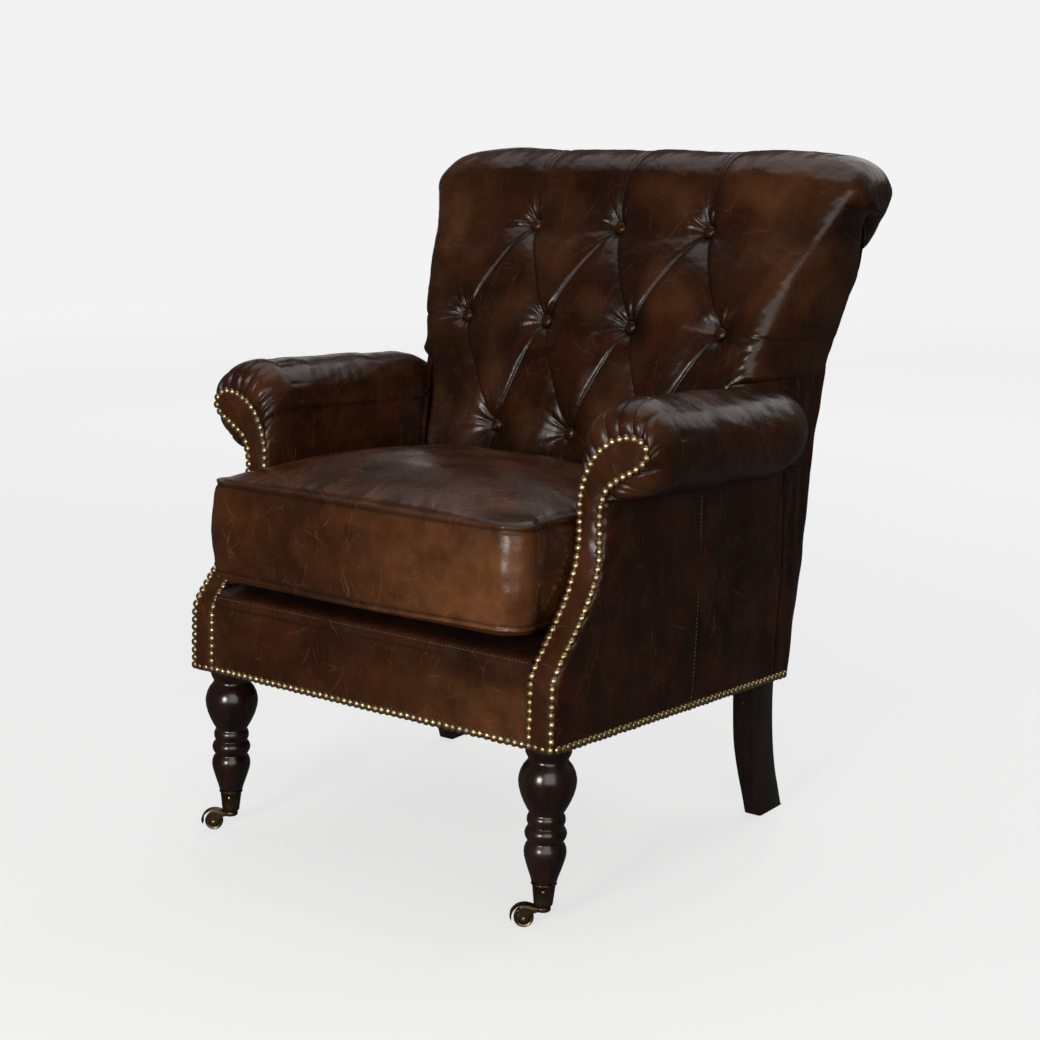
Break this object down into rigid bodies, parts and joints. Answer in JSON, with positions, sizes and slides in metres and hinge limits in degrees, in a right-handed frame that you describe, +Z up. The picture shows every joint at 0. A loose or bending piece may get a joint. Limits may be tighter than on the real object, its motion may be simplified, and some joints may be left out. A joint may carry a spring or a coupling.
{
  "type": "upholstered armchair",
  "caption": "Button-back leather armchair with rolled arms, loose box cushion, nail-head trim, turned front legs on casters and swept rear legs.",
  "frame": {"origin": "on the floor, under the middle of the outside box of the chair", "axes": "+Z up, the chair faces -Y, +X is towards the right-hand arm seen from the front"},
  "size_m": [0.76, 0.7478, 0.9209],
  "materials": {
    "leather": "hand-rubbed antique brown, semi-gloss",
    "dark_wood": "dark walnut stain, satin",
    "frame_wood": "raw hardwood",
    "aged_brass": "antiqued",
    "deck_cloth": "matt woven cloth",
    "webbing": "woven jute"
  },
  "bodies": {
    "armchair": {"back_button_1_1": "leather", "back_button_1_2": "leather", "back_button_1_3": "leather", "back_button_2_1": "leather", "back_button_2_2": "leather", "back_button_2_3": "leather", "back_button_2_4": "leather", "back_button_3_1": "leather", "back_button_3_2": "leather", "back_button_3_3": "leather", "back_rail": "frame_wood", "crest_rail": "frame_wood", "dust_cover": "deck_cloth", "front_border": "leather", "front_nail_row": "aged_brass", "front_rail": "frame_wood", "left_arm_facing": "leather", "left_arm_nail_row": "aged_brass", "left_arm_pad": "leather", "left_arm_post": "frame_wood", "left_arm_rail": "frame_wood", "left_back_side_panel": "leather", "left_caster_cup": "aged_brass", "left_front_corner_block": "frame_wood", "left_front_leg": "dark_wood", "left_outside_arm_front_panel": "leather", "left_outside_arm_rear_panel": "leather", "left_rear_leg_and_post": "dark_wood", "left_side_nail_row": "aged_brass", "left_side_rail": "frame_wood", "lower_back_rail": "frame_wood", "outside_back_panel": "leather", "right_arm_facing": "leather", "right_arm_nail_row": "aged_brass", "right_arm_pad": "leather", "right_arm_post": "frame_wood", "right_arm_rail": "frame_wood", "right_back_side_panel": "leather", "right_caster_cup": "aged_brass", "right_front_corner_block": "frame_wood", "right_front_leg": "dark_wood", "right_outside_arm_front_panel": "leather", "right_outside_arm_rear_panel": "leather", "right_rear_leg_and_post": "dark_wood", "right_side_nail_row": "aged_brass", "right_side_rail": "frame_wood", "seat_deck_pad": "deck_cloth", "seat_webbing": "webbing", "tufted_back": "leather"},
    "seat_cushion": {"seat_cushion": "leather"},
    "left_caster": {"left_caster_axle": "aged_brass", "left_caster_horn": "aged_brass"},
    "left_wheel": {"left_caster_wheel": "aged_brass"},
    "right_caster": {"right_caster_axle": "aged_brass", "right_caster_horn": "aged_brass"},
    "right_wheel": {"right_caster_wheel": "aged_brass"}
  },
  "joints": [
    {"name": "left_caster_swivel", "type": "hinge", "parent": "armchair", "child": "left_caster", "pos_m": [-0.273, -0.34159, 0.027], "axis": [0, 0, 1], "continuous": true},
    {"name": "left_wheel_spin", "type": "hinge", "parent": "left_caster", "child": "left_wheel", "pos_m": [-0.29217, -0.35603, 0.0125], "axis": [0.6018, -0.7986, 0], "continuous": true},
    {"name": "right_caster_swivel", "type": "hinge", "parent": "armchair", "child": "right_caster", "pos_m": [0.273, -0.34159, 0.027], "axis": [0, 0, 1], "continuous": true},
    {"name": "right_wheel_spin", "type": "hinge", "parent": "right_caster", "child": "right_wheel", "pos_m": [0.25383, -0.35603, 0.0125], "axis": [0.6018, -0.7986, 0], "continuous": true},
    {"name": "cushion_lift", "type": "slide", "parent": "armchair", "child": "seat_cushion", "axis": [0, 0, 1], "range_m": [0, 0.15]}
  ]
}
